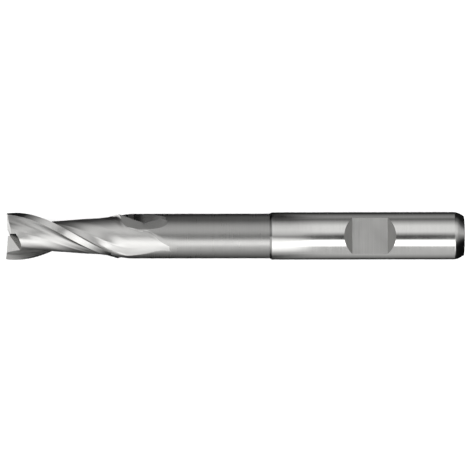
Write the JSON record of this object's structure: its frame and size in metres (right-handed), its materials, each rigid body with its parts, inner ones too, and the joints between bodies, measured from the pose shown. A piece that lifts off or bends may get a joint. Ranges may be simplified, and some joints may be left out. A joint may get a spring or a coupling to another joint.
{
  "type": "end mill",
  "caption": "Long-necked slot drill end mill with helical flutes, a relieved neck and a cylindrical shank with a side-lock flat.",
  "frame": {"origin": "on the tool axis, in the plane of the shank's end face", "axes": "+X along the tool axis from the cutting tip to the shank's end; +Z is the outward normal of the drive flat"},
  "size_m": [0.0968, 0.01, 0.01],
  "materials": {
    "shank_steel": "cylindrically ground",
    "neck_steel": "ground, slightly rough",
    "ground_steel": "tool ground"
  },
  "bodies": {
    "root": {"shank": "shank_steel", "neck": "neck_steel", "fluted_head": "ground_steel"}
  },
  "joints": []
}
